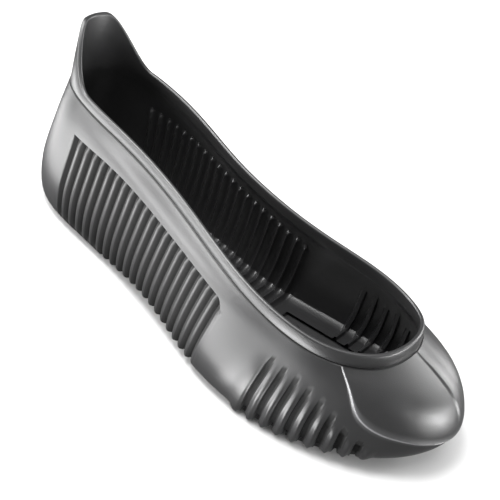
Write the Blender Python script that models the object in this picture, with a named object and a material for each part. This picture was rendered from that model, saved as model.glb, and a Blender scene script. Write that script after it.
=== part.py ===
"""A slip-on rubber overshoe for the right foot: one moulded body, ribbed at the waist, on two tread pads."""

import math
from collections import namedtuple

import bmesh
import bpy
import numpy as np

MM = 0.001

# Wall and floor of the moulded body, in millimetres like every size below
LENGTH = 275.0
WALL = 2.0
CORNER_PULL = 9.0

# Curve of the last, seen from above: the waist bows out and the toe swings in
BOW = 10.0
BOW_START = 50.0
SWING = 16.0
SWING_START = 80.0

# Collar band above the groove line, and the pull tab at the heel
BAND_HEIGHT = 6.0
BAND_EXTRA_FRONT = 2.0
BAND_FRONT_RUN = (137.5, 234.0)
BAND_OUTSIDE = 0.3
BAND_INSIDE = 2.9
BAND_ROUND = 1.1
BAND_UPRIGHT = 2.5
BAND_LEAN_ROWS = 0.2
GROOVE_DEPTH = 1.0
GROOVE_RISE = 0.4
GROOVE_WIDTH = 1.3
TAB_HEIGHT = 25.0
TAB_LEAN = 0.14
TAB_TOP_HALF = 8.0
TAB_FOOT_HALF = 38.0

# Concertina ribs of the waist
RIB_START = 32.0
RIB_PITCH = 5.95
RIB_COUNT = 21
RIB_DEPTH = 2.2
SIDE_BAND_ROW = 2.05
RIB_TOP_ROW = 1.85

# Grooves in the side of the forefoot
FLUTE_START = 187.7
FLUTE_PITCH = 7.6
FLUTE_COUNT = 8
FLUTE_DEPTH = 1.9
FLUTE_TIP_REAR = 1.85
FLUTE_TIP_FRONT = 0.95

# Toe cap and the spine over it
CAP_STEP = 0.8
CAP_EDGE_X = 234.0
CAP_EDGE_HALF_GAP = 0.7
CAP_EDGE_ROW = 1.2
CAP_SHARE_AT_RIM = 0.4
SPINE_CREST_HALF = 1.8
SPINE_HALF = 4.5
SPINE_HEIGHT = 1.0
SPINE_SHIFT = 5.5
SPINE_PLACES = (0.6, 0.48, 0.36, 0.24, 0.12)

# Tread pads under the floor, and the floor's heel bevel, arch and toe spring above the ground
FLOOR_GAP = 0.3
PLATE = 1.5
LUG = 2.2
FLOOR_BASE = FLOOR_GAP + PLATE + LUG
HEEL_BEVEL = 1.5
HEEL_BEVEL_RUN = (22.0, 7.0)
ARCH = 3.0
ARCH_RUN = (72.0, 150.0)
TOE_SPRING = 9.0
TOE_SPRING_RUN = (205.0, 269.5)
TILE = 12.0
TILE_GROOVE = 1.8
PAD_MARGIN = 3.5
HEEL_PAD_FRONT = 69.0
FOREFOOT_PAD_REAR = 152.5
HEEL_WINDOW = (20.0, 60.0)
FOREFOOT_WINDOW = (162.0, 246.0)
WINDOW_SHARE = 0.8
SMALLEST_LUG = 10.0
WELD = 0.001

# Each row is one section of the last, from the middle of the heel to the tip of the toe. The sole, bulge,
# side and rim levels each have a distance from the heel, a half width and a height. The rim is the groove
# line under the collar band, and the height of the sole comes from the floor's own sizes.
Section = namedtuple(
    "Section",
    "sole_x sole_half bulge_x bulge_half bulge_z side_x side_half side_z rim_x rim_half rim_z",
)
SECTIONS = (
    Section(7.0, 0.0, 1.0, 0.0, 22.0, 1.5, 0.0, 48.0, 3.0, 0.0, 73.0),
    Section(14.0, 20.0, 9.0, 22.5, 22.0, 10.0, 21.5, 51.5, 12.0, 20.0, 73.0),
    Section(35.0, 30.5, 34.0, 34.5, 21.5, 35.5, 31.5, 55.0, 36.0, 28.0, 71.5),
    Section(66.0, 32.5, 66.0, 36.5, 21.0, 67.0, 33.5, 55.5, 67.5, 28.5, 68.5),
    Section(98.0, 33.0, 98.0, 37.5, 21.5, 99.0, 34.0, 53.0, 100.5, 28.0, 64.0),
    Section(130.0, 36.5, 130.0, 40.5, 21.0, 131.0, 36.5, 50.0, 133.0, 31.5, 60.0),
    Section(160.0, 43.0, 160.0, 46.0, 20.0, 161.0, 40.5, 46.5, 162.5, 36.5, 56.5),
    Section(190.0, 47.0, 190.0, 49.5, 19.5, 190.0, 43.0, 43.0, 189.0, 39.5, 53.5),
    Section(220.0, 45.5, 220.0, 48.5, 19.5, 218.0, 41.5, 40.5, 211.0, 37.0, 51.0),
    Section(246.0, 37.0, 247.0, 40.5, 20.0, 241.5, 34.5, 39.0, 227.0, 28.0, 50.5),
    Section(263.0, 21.5, 266.5, 25.0, 21.0, 257.5, 21.0, 38.0, 235.0, 15.5, 51.0),
    Section(269.5, 0.0, 275.0, 0.0, 21.5, 264.0, 0.0, 37.5, 237.5, 0.0, 51.5),
)
LEVELS = ("sole", "bulge", "side", "rim")
LAST_ROW = len(SECTIONS) - 1
ROUND = 2 * LAST_ROW
TOP_ROW = len(LEVELS) - 1
SMALL_STEP = 0.02

# Columns on the plain stretches of the wall, and places where the sole edge is worked out
HEEL_COLUMNS = 9
PANEL_COLUMNS = 5
TOE_COLUMNS = 9
SOLE_SAMPLES = 441
PAD_SAMPLES = 89

# Heights of the points between the sole edge and the top of the grooves, and above them, as shares
GROOVE_SHARES = (0.2, 0.42, 0.7)
PLAIN_SHARES = (0.3, 0.7)

# Colour and finish of the two rubbers
BODY_GREY = 0.035
BODY_ROUGHNESS = 0.4
TREAD_GREY = 0.02
TREAD_ROUGHNESS = 0.65

# Share of the groove depth at each height of the wall, from the sole edge up to the groove line
Relief = namedtuple("Relief", "floor edge corner low middle top")
SMOOTH = Relief(0.0, 0.0, 0.0, 0.0, 0.0, 0.0)
WAIST_RIBS = Relief(1.0, 1.0, 1.0, 1.0, 1.0, 1.0)
HEEL_RIBS = Relief(0.0, 0.0, 0.6, 1.0, 1.0, 1.0)
FLUTES = Relief(0.0, 0.3, 0.8, 1.0, 1.0, 0.6)

# One column of the wall: its place round the last, its groove depth and relief, and whether it is toe cap
Column = namedtuple("Column", "at depth relief capped")


def smooth_step(low, high, value):
    share = np.clip((value - low) / (high - low), 0.0, 1.0)
    return share * share * (3.0 - 2.0 * share)


def closed_spline(values):
    """Slopes of the smooth closed curve through evenly spaced values."""
    count = len(values)
    ring = 4.0 * np.eye(count) + np.roll(np.eye(count), 1, axis=1) + np.roll(np.eye(count), -1, axis=1)
    return np.linalg.solve(ring, 3.0 * (np.roll(values, -1) - np.roll(values, 1)))


def round_the_last(field, sign):
    """A column of the table down the right side of the last and back up the left side."""
    right = np.array([getattr(section, field) for section in SECTIONS])
    left = right[-2:0:-1]
    return np.concatenate([right * sign[0], left * sign[1]])


def hermite(start, end, start_slope, end_slope, share):
    two = share * share
    three = two * share
    return (
        start * (2.0 * three - 3.0 * two + 1.0)
        + start_slope * (three - 2.0 * two + share)
        + end * (3.0 * two - 2.0 * three)
        + end_slope * (three - two)
    )


def level_curves():
    """For each level, the values and slopes of x, the half width and z."""
    curves = {}
    for level in LEVELS:
        axes = []
        for suffix, sign in (("_x", (1, 1)), ("_half", (-1, 1)), ("_z", (1, 1))):
            if level + suffix not in Section._fields:
                continue
            values = round_the_last(level + suffix, sign)
            axes.append((values, closed_spline(values)))
        curves[level] = axes
    return curves


CURVES = level_curves()


def centre_line(x):
    """How far the middle of the last lies towards the inner side of the foot."""
    swung = np.clip((x - SWING_START) / (LENGTH - SWING_START), 0.0, 1.0)
    bowed = np.clip((x - BOW_START) / (LENGTH - BOW_START), 0.0, 1.0)
    return SWING * swung**2 - BOW * math.sin(math.pi * bowed) ** 2


def floor_height(x):
    """Underside of the moulded floor above the ground, flat under the heel and the ball of the foot."""
    heel = np.clip((HEEL_BEVEL_RUN[0] - x) / (HEEL_BEVEL_RUN[0] - HEEL_BEVEL_RUN[1]), 0.0, 1.0)
    toe = np.clip((x - TOE_SPRING_RUN[0]) / (TOE_SPRING_RUN[1] - TOE_SPRING_RUN[0]), 0.0, 1.0)
    along_arch = np.clip((x - ARCH_RUN[0]) / (ARCH_RUN[1] - ARCH_RUN[0]), 0.0, 1.0)
    arch = ARCH * math.sin(math.pi * along_arch) ** 2
    return FLOOR_BASE + HEEL_BEVEL * heel**2 + arch + TOE_SPRING * toe**2


def level_point(level, at):
    """A point of one level. A whole place is a section, up the right side and back down the left."""
    first = int(math.floor(at)) % ROUND
    after = (first + 1) % ROUND
    share = at - math.floor(at)
    parts = [hermite(v[first], v[after], s[first], s[after], share) for v, s in CURVES[level]]
    if level == "sole":
        parts.append(floor_height(parts[0]))
    parts[1] += centre_line(parts[0])
    return np.array(parts)


def outward(at):
    """Level direction square to the sole edge."""
    along = level_point("sole", at + SMALL_STEP) - level_point("sole", at - SMALL_STEP)
    away = np.array([along[1], -along[0], 0.0])
    return away / np.linalg.norm(away)


def last_point(at, row):
    """A point of the outer form. The row runs from 0 at the sole edge to 3 at the groove line."""
    levels = [level_point(level, at) for level in LEVELS]
    slopes = (
        outward(at) * CORNER_PULL,
        (levels[2] - levels[0]) / 2.0,
        (levels[3] - levels[1]) / 2.0,
        levels[3] - levels[2],
    )
    first = min(int(row), TOP_ROW - 1)
    return hermite(levels[first], levels[first + 1], slopes[first], slopes[first + 1], row - first)


def last_normal(at, row):
    along = last_point(at + SMALL_STEP, row) - last_point(at - SMALL_STEP, row)
    up = last_point(at, min(row + SMALL_STEP, TOP_ROW)) - last_point(at, max(row - SMALL_STEP, 0.0))
    across = np.cross(along, up)
    return across / np.linalg.norm(across)


SOLE_STEPS = np.linspace(0.0, LAST_ROW, SOLE_SAMPLES)
SOLE_LINE = np.array([level_point("sole", at) for at in SOLE_STEPS])


def place_of(x):
    """The place round the last, on its right side, where the sole edge is at x."""
    return float(np.interp(x, SOLE_LINE[:, 0], SOLE_STEPS))


def right_columns():
    """Columns of the right side, from the middle of the heel to the tip of the toe."""
    columns = []
    rib_end = RIB_START + RIB_COUNT * RIB_PITCH
    flute_end = FLUTE_START + FLUTE_COUNT * FLUTE_PITCH
    for at in np.linspace(0.0, place_of(RIB_START), HEEL_COLUMNS)[:-1]:
        columns.append(Column(float(at), 0.0, SMOOTH, False))
    for half in range(2 * RIB_COUNT + 1):
        x = RIB_START + half * RIB_PITCH / 2.0
        relief = HEEL_RIBS if x < HEEL_PAD_FRONT else WAIST_RIBS
        columns.append(Column(place_of(x), RIB_DEPTH * (half % 2), relief, False))
    for x in np.linspace(rib_end, FLUTE_START, PANEL_COLUMNS)[1:-1]:
        columns.append(Column(place_of(x), 0.0, SMOOTH, False))
    for half in range(2 * FLUTE_COUNT + 1):
        x = FLUTE_START + half * FLUTE_PITCH / 2.0
        columns.append(Column(place_of(x), FLUTE_DEPTH * (half % 2), FLUTES, x > CAP_EDGE_X))
    for side in (-1, 1):
        x = CAP_EDGE_X + side * CAP_EDGE_HALF_GAP
        half = (x - FLUTE_START) / (FLUTE_PITCH / 2.0)
        depth = FLUTE_DEPTH * (1.0 - abs(half % 2.0 - 1.0))
        columns.append(Column(place_of(x), depth, FLUTES, side > 0))
    spine_places = [LAST_ROW - share for share in SPINE_PLACES]
    for at in np.linspace(place_of(flute_end), spine_places[0], TOE_COLUMNS)[1:-1]:
        columns.append(Column(float(at), 0.0, SMOOTH, True))
    for at in spine_places + [LAST_ROW]:
        columns.append(Column(float(at), 0.0, SMOOTH, True))
    return sorted(columns, key=lambda column: column.at)


def feature_row(at):
    """The height of the line where the grooves start, or where the toe cap ends."""
    x = level_point("sole", at if at <= LAST_ROW else ROUND - at)[0]
    flute_end = FLUTE_START + FLUTE_COUNT * FLUTE_PITCH
    rib_end = RIB_START + RIB_COUNT * RIB_PITCH
    if x <= FLUTE_START:
        drop = smooth_step(rib_end, FLUTE_START, x)
        return SIDE_BAND_ROW + (FLUTE_TIP_REAR - SIDE_BAND_ROW) * drop
    along = (x - FLUTE_START) / (flute_end - FLUTE_START)
    tips = FLUTE_TIP_REAR + (FLUTE_TIP_FRONT - FLUTE_TIP_REAR) * along
    return max(tips, CAP_EDGE_ROW)


def wall_rows(column):
    """Heights and relief shares down the wall, from the sole edge to the groove line."""
    line = feature_row(column.at)
    start = line * RIB_TOP_ROW / SIDE_BAND_ROW
    relief = column.relief
    grooved = zip(GROOVE_SHARES, (relief.corner, relief.low, relief.middle))
    lower = [(0.0, relief.edge)] + [(share * start, depth) for share, depth in grooved]
    plain = [(line + share * (TOP_ROW - line), 0.0) for share in PLAIN_SHARES]
    return lower + [(start, relief.top), (line, 0.0)] + plain + [(TOP_ROW, 0.0)]


def raised(column, row, point):
    """How far the toe cap stands proud, and the spine that rises out of it above its lower edge."""
    line = feature_row(column.at)
    if not column.capped or row < line:
        return 0.0
    off_spine = abs(point[1] - centre_line(point[0]) - SPINE_SHIFT)
    crest = SPINE_HEIGHT if row > line else 0.0
    spine = crest * (1.0 - smooth_step(SPINE_CREST_HALF, SPINE_HALF, off_spine))
    share = CAP_SHARE_AT_RIM if row == TOP_ROW else 1.0
    return (CAP_STEP + spine) * share


def wall_profile(column):
    """Points from the outer sole edge up the wall, over the collar band and down the inner wall."""
    outer = []
    inner = []
    for row, share in wall_rows(column):
        base = last_point(column.at, row)
        normal = last_normal(column.at, row)
        lift = raised(column, row, base) - column.depth * share
        outer.append(base + normal * lift)
        inner.append(base + normal * (min(lift, 0.0) - WALL))
    return outer + collar_band(column) + inner[-2::-1]


def collar_band(column):
    """The groove, the rounded band above it and the pull tab, as points from outside to inside."""
    rim = last_point(column.at, TOP_ROW)
    normal = last_normal(column.at, TOP_ROW)
    away = np.array([normal[0], normal[1], 0.0])
    away = away / np.linalg.norm(away)
    leaning = rim - last_point(column.at, TOP_ROW - BAND_LEAN_ROWS)
    up = leaning / np.linalg.norm(leaning) + np.array([0.0, 0.0, BAND_UPRIGHT])
    from_heel = np.linalg.norm((rim - last_point(0.0, TOP_ROW))[:2])
    tab = 1.0 - smooth_step(TAB_TOP_HALF, TAB_FOOT_HALF, from_heel)
    up = up / np.linalg.norm(up) - np.array([TAB_LEAN * tab, 0.0, 0.0])
    front = smooth_step(*BAND_FRONT_RUN, rim[0])
    height = BAND_HEIGHT + BAND_EXTRA_FRONT * front + TAB_HEIGHT * tab
    middle = (BAND_OUTSIDE + BAND_INSIDE) / 2.0
    places = (
        (GROOVE_DEPTH, GROOVE_RISE),
        (BAND_OUTSIDE, GROOVE_WIDTH),
        (BAND_OUTSIDE, height - BAND_ROUND),
        (middle, height),
        (BAND_INSIDE, height - BAND_ROUND),
        (BAND_INSIDE, 0.0),
    )
    return [rim - away * inwards + up * rise for inwards, rise in places]


def add_strip(bm, first, second):
    """Quads between two rows of vertices, or triangles where both rows share a vertex."""
    for low, high in zip(range(len(first) - 1), range(1, len(first))):
        corners = [first[low], second[low], second[high], first[high]]
        loop = [corner for place, corner in enumerate(corners) if corner not in corners[:place]]
        if len(loop) > 2:
            bm.faces.new(loop)


def floor_rows(bm, edges, columns):
    """Rows of vertices across the floor, one for each pair of columns."""
    rows = []
    for place, column in enumerate(columns):
        right = edges[place]
        left = edges[-place]
        if right is left:
            rows.append([right] * 5)
            continue
        row = [right]
        for share in (-WINDOW_SHARE, 0.0, WINDOW_SHARE):
            spot = right.co.lerp(left.co, (1.0 + share) / 2.0)
            spot.z -= column.depth * (column.relief.edge - column.relief.floor) * MM
            row.append(bm.verts.new(spot))
        rows.append(row + [left])
    return rows


def in_window(x):
    return any(low <= x <= high for low, high in (HEEL_WINDOW, FOREFOOT_WINDOW))


def add_floor(bm, outer_rows, inner_rows, columns):
    """Outer and inner floor with the two windows, and the edges of the windows."""
    open_rows = [in_window(level_point("sole", column.at)[0]) for column in columns]
    for place in range(len(columns) - 1):
        cut = open_rows[place] and open_rows[place + 1]
        spans = ((0, 2), (3, 5)) if cut else ((0, 5),)
        for low, high in spans:
            add_strip(bm, outer_rows[place + 1][low:high], outer_rows[place][low:high])
            add_strip(bm, inner_rows[place][low:high], inner_rows[place + 1][low:high])
        if cut:
            for side in (1, 3):
                outer_edge = [outer_rows[place][side], outer_rows[place + 1][side]]
                inner_edge = [inner_rows[place][side], inner_rows[place + 1][side]]
                add_strip(bm, outer_edge, inner_edge)
        if open_rows[place] != open_rows[place + 1]:
            end = place + 1 if open_rows[place + 1] else place
            add_strip(bm, outer_rows[end][1:4], inner_rows[end][1:4])


def make_upper():
    bm = bmesh.new()
    right = right_columns()
    left = [column._replace(at=ROUND - column.at) for column in right[-2:0:-1]]
    around = right + left
    profiles = []
    for column in around:
        profiles.append([bm.verts.new(point * MM) for point in wall_profile(column)])
    for place, profile in enumerate(profiles):
        add_strip(bm, profile, profiles[(place + 1) % len(profiles)])
    outer_rows = floor_rows(bm, [profile[0] for profile in profiles], right)
    inner_rows = floor_rows(bm, [profile[-1] for profile in profiles], right)
    add_floor(bm, outer_rows, inner_rows, right)
    bmesh.ops.recalc_face_normals(bm, faces=bm.faces[:])
    return bm


def pad_outline(first_x, last_x):
    """The edge of a tread pad, as far inside the sole edge as the margin says, between two cross lines."""
    places = np.linspace(0.0, LAST_ROW, PAD_SAMPLES)
    right = [at for at in places if first_x < level_point("sole", at)[0] < last_x]
    ends = [place_of(x) for x in (first_x, last_x) if SOLE_LINE[0, 0] < x < SOLE_LINE[-1, 0]]
    right = sorted(right + ends)
    left = [ROUND - at for at in reversed(right) if 0.0 < at < LAST_ROW]
    return [level_point("sole", at) - outward(at) * PAD_MARGIN for at in right + left]


def groove_edges(low, high, origin):
    """Both edges of each groove between the tiles, for grooves a tile apart from the origin on."""
    first = math.floor((low - origin) / TILE)
    last = math.ceil((high - origin) / TILE)
    centres = [origin + count * TILE for count in range(first, last + 1)]
    return [centre + side * TILE_GROOVE / 2.0 for centre in centres for side in (-1, 1)]


def in_groove(value, origin):
    return abs((value - origin + TILE / 2.0) % TILE - TILE / 2.0) < TILE_GROOVE / 2.0


def is_lug(face, origin):
    middle = face.calc_center_median()
    if any(in_groove(middle[axis], origin[axis]) for axis in (0, 1)):
        return False
    return middle.z == 0.0 and face.calc_area() > SMALLEST_LUG


def extrude(bm, geometry, rise):
    made = bmesh.ops.extrude_face_region(bm, geom=geometry)["geom"]
    moved = [part for part in made if isinstance(part, bmesh.types.BMVert)]
    bmesh.ops.translate(bm, verts=moved, vec=(0.0, 0.0, rise))


def make_pad(first_x, last_x, tiles_from):
    """A plate that follows the floor, with square lugs that end at its edge."""
    bm = bmesh.new()
    outline = pad_outline(first_x, last_x)
    bm.faces.new([bm.verts.new((point[0], point[1], 0.0)) for point in outline])
    low = np.min(outline, axis=0)
    high = np.max(outline, axis=0)
    origin = (tiles_from, (low[1] + high[1] + TILE) / 2.0)
    for axis, direction in enumerate(((1.0, 0.0, 0.0), (0.0, 1.0, 0.0))):
        for place in groove_edges(low[axis], high[axis], origin[axis]):
            spot = [place * part for part in direction]
            geometry = bm.verts[:] + bm.edges[:] + bm.faces[:]
            bmesh.ops.bisect_plane(bm, geom=geometry, dist=WELD, plane_co=spot, plane_no=direction)
    extrude(bm, bm.faces[:], PLATE)
    lugs = [face for face in bm.faces if is_lug(face, origin)]
    lug_edges = {edge for face in lugs for edge in face.edges}
    extrude(bm, lugs + list(lug_edges), -LUG)
    for vertex in bm.verts:
        vertex.co.z += floor_height(vertex.co.x) - FLOOR_GAP - PLATE
    bmesh.ops.scale(bm, verts=bm.verts[:], vec=(MM, MM, MM))
    bmesh.ops.recalc_face_normals(bm, faces=bm.faces[:])
    return bm


def make_object(name, bm, material):
    mesh = bpy.data.meshes.new(name)
    bm.to_mesh(mesh)
    bm.free()
    mesh.materials.append(material)
    obj = bpy.data.objects.new(name, mesh)
    bpy.context.scene.collection.objects.link(obj)
    return obj


def make_rubber(name, grey, roughness):
    material = bpy.data.materials.new(name)
    material.use_nodes = True
    shader = material.node_tree.nodes["Principled BSDF"]
    shader.inputs["Base Color"].default_value = (grey, grey, grey, 1.0)
    shader.inputs["Roughness"].default_value = roughness
    shader.inputs["Metallic"].default_value = 0.0
    return material


def centre_on_floor(pieces):
    """Places the pieces so that the middle of their box is over the origin."""
    corners = np.array([vertex.co for piece in pieces for vertex in piece.data.vertices])
    middle = (corners.min(axis=0) + corners.max(axis=0)) / 2.0
    for piece in pieces:
        piece.location = (-middle[0], -middle[1], 0.0)


def main():
    for obj in list(bpy.data.objects):
        bpy.data.objects.remove(obj, do_unlink=True)
    satin = make_rubber("satin_black_rubber", BODY_GREY, BODY_ROUGHNESS)
    tread = make_rubber("dull_black_tread", TREAD_GREY, TREAD_ROUGHNESS)
    upper = make_object("upper", make_upper(), satin)
    heel_pad = make_pad(0.0, HEEL_PAD_FRONT, HEEL_PAD_FRONT)
    heel = make_object("heel_outsole", heel_pad, tread)
    forefoot_pad = make_pad(FOREFOOT_PAD_REAR, LENGTH, FOREFOOT_PAD_REAR)
    forefoot = make_object("forefoot_outsole", forefoot_pad, tread)
    centre_on_floor([upper, heel, forefoot])


main()
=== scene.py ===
import math
from collections import namedtuple

import bmesh
import bpy
import numpy as np
from mathutils import Matrix, Vector


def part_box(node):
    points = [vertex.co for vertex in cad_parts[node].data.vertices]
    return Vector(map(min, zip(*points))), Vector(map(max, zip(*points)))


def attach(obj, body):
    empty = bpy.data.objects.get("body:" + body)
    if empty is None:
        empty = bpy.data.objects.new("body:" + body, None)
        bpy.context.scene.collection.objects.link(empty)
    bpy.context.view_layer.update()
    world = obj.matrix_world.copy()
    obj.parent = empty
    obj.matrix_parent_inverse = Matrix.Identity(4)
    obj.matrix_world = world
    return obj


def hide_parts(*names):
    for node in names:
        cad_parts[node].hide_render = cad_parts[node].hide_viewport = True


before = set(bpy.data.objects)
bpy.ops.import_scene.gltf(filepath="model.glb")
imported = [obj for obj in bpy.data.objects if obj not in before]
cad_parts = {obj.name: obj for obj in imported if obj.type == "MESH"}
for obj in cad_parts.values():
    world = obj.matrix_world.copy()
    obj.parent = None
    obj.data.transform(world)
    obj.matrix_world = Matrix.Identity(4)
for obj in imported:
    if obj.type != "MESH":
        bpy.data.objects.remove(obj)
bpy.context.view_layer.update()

# The moulded upper. One shell of satin black rubber, pressed in a mould over a last: heel counter, smooth
# side band, concertina ribs round the waist, smooth panel, leaf-shaped grooves along the forefoot, toe cap
# with a spine, and a rolled collar that rises into a pull tab at the heel. Its sizes are in millimetres.
MM = 0.001
WALL = 2.0
LENGTH = 275.0
CORNER_PULL = 9.0
BOW = 10.0
BOW_START = 50.0
SWING = 16.0
SWING_START = 80.0

# The last that it is moulded on: where four levels of each cross section lie, half their widths and heights
Section = namedtuple(
    "Section",
    "sole_x sole_half bulge_x bulge_half bulge_z side_x side_half side_z rim_x rim_half rim_z",
)
LAST_SECTIONS = (
    Section(7.0, 0.0, 1.0, 0.0, 22.0, 1.5, 0.0, 48.0, 3.0, 0.0, 73.0),
    Section(14.0, 20.0, 9.0, 22.5, 22.0, 10.0, 21.5, 51.5, 12.0, 20.0, 73.0),
    Section(35.0, 30.5, 34.0, 34.5, 21.5, 35.5, 31.5, 55.0, 36.0, 28.0, 71.5),
    Section(66.0, 32.5, 66.0, 36.5, 21.0, 67.0, 33.5, 55.5, 67.5, 28.5, 68.5),
    Section(98.0, 33.0, 98.0, 37.5, 21.5, 99.0, 34.0, 53.0, 100.5, 28.0, 64.0),
    Section(130.0, 36.5, 130.0, 40.5, 21.0, 131.0, 36.5, 50.0, 133.0, 31.5, 60.0),
    Section(160.0, 43.0, 160.0, 46.0, 20.0, 161.0, 40.5, 46.5, 162.5, 36.5, 56.5),
    Section(190.0, 47.0, 190.0, 49.5, 19.5, 190.0, 43.0, 43.0, 189.0, 39.5, 53.5),
    Section(220.0, 45.5, 220.0, 48.5, 19.5, 218.0, 41.5, 40.5, 211.0, 37.0, 51.0),
    Section(246.0, 37.0, 247.0, 40.5, 20.0, 241.5, 34.5, 39.0, 227.0, 28.0, 50.5),
    Section(263.0, 21.5, 266.5, 25.0, 21.0, 257.5, 21.0, 38.0, 235.0, 15.5, 51.0),
    Section(269.5, 0.0, 275.0, 0.0, 21.5, 264.0, 0.0, 37.5, 237.5, 0.0, 51.5),
)

# A place counts cross sections, down the right side and back up the left, and a row counts levels upwards
LEVELS = ("sole", "bulge", "side", "rim")
TOE_PLACE = len(LAST_SECTIONS) - 1
ROUND = 2 * TOE_PLACE
RIM_ROW = len(LEVELS) - 1
SMALL_STEP = 0.02
SOLE_SAMPLES = 881

# The underside of the floor: level, but bevelled at the heel, arched at the waist and sprung at the toe
FLOOR_BASE = 4.0
HEEL_BEVEL = 1.5
HEEL_BEVEL_RUN = (22.0, 7.0)
ARCH = 3.0
ARCH_RUN = (72.0, 150.0)
TOE_SPRING = 9.0
TOE_SPRING_RUN = (205.0, 269.5)

# The concertina ribs of the waist, and the smooth side band above them
RIB_START = 32.0
RIB_PITCH = 5.95
RIB_COUNT = 21
RIB_END = RIB_START + RIB_COUNT * RIB_PITCH
RIB_DEPTH = 3.0
RIB_VALLEY = 0.32
RIB_ROUNDING = 0.16
RIB_LEAN = 7.0
RIB_LEAN_FROM = 10.0
# Where on the ribs' profile the rubber turns dull and its colour is painted darker as shade
RIB_DULL_AND_SHADE = (0.015, 0.12)
RIB_FULLNESS = 0.6
RIB_TOP_OUTSIDE = 0.004
RIB_TOP_INSIDE = 0.12
RIB_DIP = 1.0
RIB_DIP_ROWS = (0.16, 0.03)
RIB_END_RUN = 0.8
SIDE_BAND_ROW = 2.06
RIB_CORNER = 8.0
RIB_CORNER_DROP = 0.22
HEEL_PAD_FRONT = 69.0
HEEL_RIB_FADE = 2.0
HEEL_RIB_FOOT = (0.1, 0.5)

# The grooves along the forefoot and the ribs between them, whose lower ends sag most at the rear
FLUTE_START = 187.7
FLUTE_PITCH = 7.6
FLUTE_COUNT = 8
FLUTE_END = FLUTE_START + FLUTE_COUNT * FLUTE_PITCH
FLUTE_DEPTH = 2.4
FLUTE_TIP = 1.86
FLUTE_TIP_DROP = 0.92
FLUTE_TIP_POWER = 2.2
FLUTE_TIP_OUTSIDE = 0.18
FLUTE_TIP_INSIDE = 0.05
FLUTE_SHARE = 0.5
FLUTE_WIDEST = 0.11
FLUTE_PINCH = 0.4
FLUTE_PINCH_ROWS = 0.5
FLUTE_BED = 0.55
FLUTE_CREST = 1.1
FLUTE_CREST_RUN = 0.3
FLUTE_SHOULDER = 0.5
FLUTE_LEAD = 1.0
# Where the grooves turn dull and their colour is painted darker as shade
FLUTE_DULL_AND_SHADE = (0.1, 0.5)
FLUTE_DULL_AND_SHADE_ROWS = 0.14
FLUTE_SAGS = (2.6, 0.8)
FLUTE_SAG_ROWS = 0.45
FLUTE_SAG_SHARE = 0.85

# The toe cap with its beaded edge and its spine. The spans are the millimetres in one row and in one place
CAP_STEP = 0.8
CAP_PLACE = 8.42
CAP_FRONT_ROW = 0.95
CAP_DROP = 0.04
CAP_TOE_DROP = 0.25
CAP_TOE_RUN = (9.5, 11.0)
CAP_RAMP = 0.5
CAP_BEAD = 0.4
CAP_BEAD_HALF = 0.5
ROW_SPAN = 18.0
PLACE_SPAN = 23.0
CAP_SHARE_AT_RIM = 0.4
CAP_RIM_ROWS = (2.6, 3.0)
SPINE_SHIFT = 5.5
SPINE_HEIGHT = 0.6
SPINE_CREST_HALF = 0.8
SPINE_NEAR_HALF = 2.6
SPINE_FAR_HALF = 10.0
SPINE_FADE_ROWS = (1.2, 1.5)

# The rolled collar band, the groove below it as steps inwards and upwards, and the pull tab
BAND_HEIGHT = 6.0
BAND_EXTRA_FRONT = 2.0
BAND_FRONT_RUN = (137.5, 234.0)
BAND_OUTSIDE = 0.3
BAND_INSIDE = 2.9
BAND_ROUND = 1.1
BAND_CROWN = 0.2
BAND_UPRIGHT = 2.5
BAND_LEAN_ROWS = 0.2
BAND_TOP_STEPS = 8
GROOVE_PROFILE = ((0.4, 0.1), (0.95, 0.35), (0.95, 0.6), (0.45, 0.95), (BAND_OUTSIDE, 1.3))
TAB_HEIGHT = 25.0
TAB_LEAN = 0.14
TAB_TOP_HALF = 8.0
TAB_FOOT_HALF = 38.0

# The windows in the floor over the tread pads, and the rounded corner from the floor to the wall inside
HEEL_WINDOW = (20.0, 60.0)
FOREFOOT_WINDOW = (162.0, 246.0)
WINDOW_SHARE = 0.8
INNER_ROUND = 4.0
INNER_ROUND_ROW = 0.4
INNER_ROUND_STEPS = 7
INNER_ROUND_PULL = 0.35


def smooth_step(low, high, value):
    """Rises gently from 0 at one end of a range to 1 at the other."""
    share = np.clip((value - low) / (high - low), 0.0, 1.0)
    return share * share * (3.0 - 2.0 * share)


def cubic_curve(start, end, start_slope, end_slope, share):
    """A cubic curve between two values with given slopes."""
    two = share * share
    three = two * share
    return (
        start * (2.0 * three - 3.0 * two + 1.0)
        + start_slope * (three - 2.0 * two + share)
        + end * (3.0 * two - 2.0 * three)
        + end_slope * (three - two)
    )


def round_curve(field, left_sign):
    """One column of the table, down the right side of the last and back up the left, and its slopes."""
    right = np.array([getattr(section, field) for section in LAST_SECTIONS])
    values = np.concatenate([right, right[-2:0:-1] * left_sign])
    # The slopes of a closed cubic curve through the values, whose bend is steady from piece to piece
    itself = np.eye(len(values))
    ring = 4.0 * itself + np.roll(itself, 1, axis=1) + np.roll(itself, -1, axis=1)
    return values, np.linalg.solve(ring, 3.0 * (np.roll(values, -1) - np.roll(values, 1)))


LAST_CURVES = {
    field: round_curve(field, -1.0 if field.endswith("half") else 1.0) for field in Section._fields
}


def centre_line(x):
    """How far the middle of the last lies towards the inner side of the foot."""
    swung = np.clip((x - SWING_START) / (LENGTH - SWING_START), 0.0, 1.0)
    bowed = np.clip((x - BOW_START) / (LENGTH - BOW_START), 0.0, 1.0)
    return SWING * swung**2 - BOW * np.sin(math.pi * bowed) ** 2


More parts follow.
